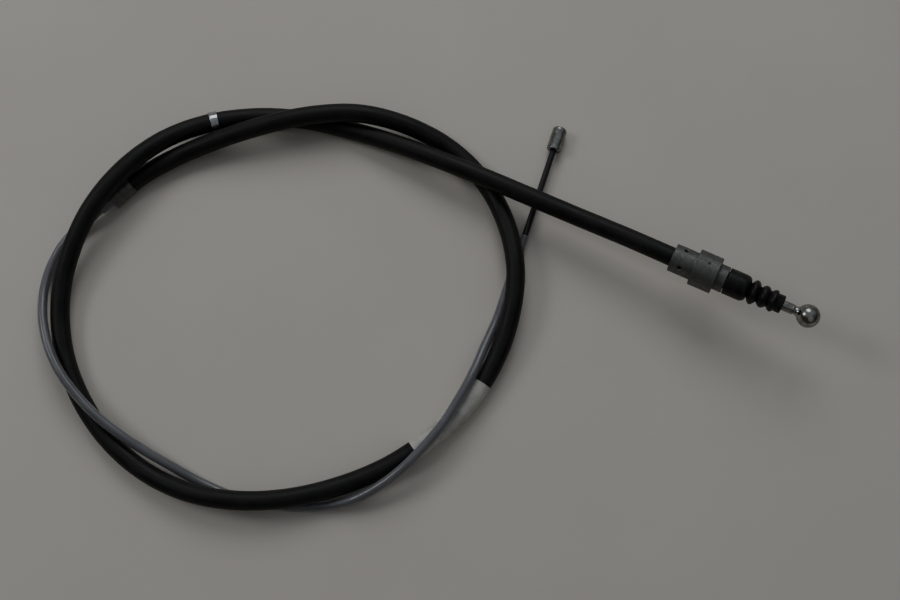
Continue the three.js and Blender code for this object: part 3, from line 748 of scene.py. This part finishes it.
# %% Bare wire and barrel
BARREL, BARREL_FROM, BARREL_TO = 4.15, 54.3, 69.1
BARREL_MOUTH = 3
COAT_TO = BARREL_FROM + BARREL_MOUTH - LAYER_GAP
wire_coat = carried("wire_coat", front, wall(-STUB, COAT_TO, COAT, 2, 4), 28)
dress(wire_coat, coat_plastic, "barrel", "black_plastic", "front_coat")
wire_rows = bar(-STUB, BARREL_FROM + 11.2, THIN_STRAND, 1)
wire_strand = carried("wire_strand", front, wire_rows, 24, twisted(6, 12, 0.15), closed=False)
dress(wire_strand, bare_wire, "barrel", "wire", "front_strand")
dome = np.linspace(0.0, math.pi / 2, 12)
dome_rows = np.stack([BARREL_TO - 1.8 + 1.8 * np.sin(dome), 2.1 + 2.05 * np.cos(dome)], 1)
mouth_rows = [BARREL_FROM, 0] + np.array([
    [11.5, 0], [11.5, 1.3], [BARREL_MOUTH, 1.3], [BARREL_MOUTH, 2.1], [0.3, 2.1]])
face_corners = np.array([[0, 2.1], [0, 3.45], [0.7, BARREL], [13, BARREL]]) + [BARREL_FROM, 0]
face_rows = eased(face_corners, 0.12, closed=False)[1:-1]
side_rows = dense([[BARREL_FROM + 1.2, BARREL], [BARREL_TO - 2.2, BARREL]], 0.7, closed=False)
barrel_rows = np.vstack([mouth_rows, face_rows, side_rows, dome_rows, [[BARREL_TO, 0]]])


def pressed(S, A, R):
    """Two shallow flats where the barrel was squeezed onto the wire."""
    past_start = 1 / (1 + np.exp(-(S - BARREL_FROM - 3) / 0.25))
    grip = past_start / (1 + np.exp((S - BARREL_TO + 4) / 0.25))
    return -0.16 * grip * np.exp(-((np.sin(A - 0.6) / 0.45) ** 2)) * (R > 3.9)


barrel = carried("barrel", front, barrel_rows, 96, pressed, closed=False)
dress(barrel, fitting_zinc, "barrel", "zinc_plate", "barrel_nipple")

# %% [markdown]
# ## The cords' routes
# The points that each free cord follows are worked out every few mm, and the three cord lengths are
# printed.

# %% Cords
def route(line, start, end, step=3.0):
    """Points of a line every few mm, in metres."""
    count = int((end - start) / step) + 1
    return (line.at(np.linspace(start, end, count))[0] * MM).tolist()


conduit.point(SLEEVE_FROM)
route(conduit, SLEEVE_FROM, SLEEVE_TO)
thin.point(TUBE_FROM)
route(thin, TUBE_FROM, thin.length)
front.point(-STUB)
route(front, -STUB, COAT_TO)
cord_lengths = SLEEVE_TO - SLEEVE_FROM, thin.length - TUBE_FROM, COAT_TO + STUB
print("lengths in mm:", [round(length, 1) for length in cord_lengths])

# %% [markdown]
# ## Floor and light
# The object lies on a plain pale surface. The soft light comes from beyond the cable and from its left,
# and throws faint wide shadows towards the viewer and to the right. Two round area lights do the same,
# with a weak one opposite. The sky is brightest overhead and beyond, so polished metal shows a light
# upper half and a dark lower one. A sky of one grey would leave the ball flat.

# %% Floor
floor_finish, tree, shader = new_finish("floor_finish", Roughness=0.6, Specular_IOR_Level=0.3)
cloud = noise(tree, 9, detail=5)
tree.links.new(ramp(tree, cloud, (0.35, (0.68, 0.642, 0.575)), (0.65, (0.705, 0.668, 0.60))),
               shader.inputs["Base Color"])
floor_mesh = bpy.data.meshes.new("floor")
reach = 12.0
floor_corners = [(-reach, -reach, 0), (reach, -reach, 0), (reach, reach, 0), (-reach, reach, 0)]
floor_mesh.from_pydata(floor_corners, [], [(0, 1, 2, 3)])
floor_mesh.materials.append(floor_finish)
floor = bpy.data.objects.new("floor", floor_mesh)
bpy.context.scene.collection.objects.link(floor)

# %% Lights
def soft_light(name, place, size, power):
    """A round area light of a size in metres that faces the middle of the cable."""
    data = bpy.data.lights.new(name, "AREA")
    data.shape = "DISK"
    data.size = size
    data.energy = power
    light = bpy.data.objects.new(name, data)
    light.location = place
    light.rotation_euler = (-Vector(place)).to_track_quat("-Z", "Y").to_euler()
    bpy.context.scene.collection.objects.link(light)
    print(name, "gives", power, "W")


soft_light("window", (0.05, 1.35, 1.25), 1.0, 5.8)
soft_light("left_window", (-1.3, 0.45, 1.2), 0.6, 3.6)
soft_light("bounce", (0.6, -1.5, 1.6), 2.2, 1.4)
world = bpy.data.worlds.new("studio")
world.use_nodes = True
sky = world.node_tree
direction = node(sky, "TexCoord").outputs["Generated"]
BRIGHTEST = (0, 0.6, 0.8)
nearness = node(sky, "VectorMath", {0: direction, 1: BRIGHTEST}, operation="DOT_PRODUCT").outputs["Value"]
colour = ramp(sky, nearness, (0.0, (0.22, 0.21, 0.20)), (0.2, (0.16, 0.155, 0.15)),
              (0.45, (0.42, 0.43, 0.44)), (0.8, (1.05, 1.11, 1.22)))
sky.links.new(colour, sky.nodes["Background"].inputs["Color"])
sky.nodes["Background"].inputs["Strength"].default_value = 0.215
bpy.context.scene.world = world
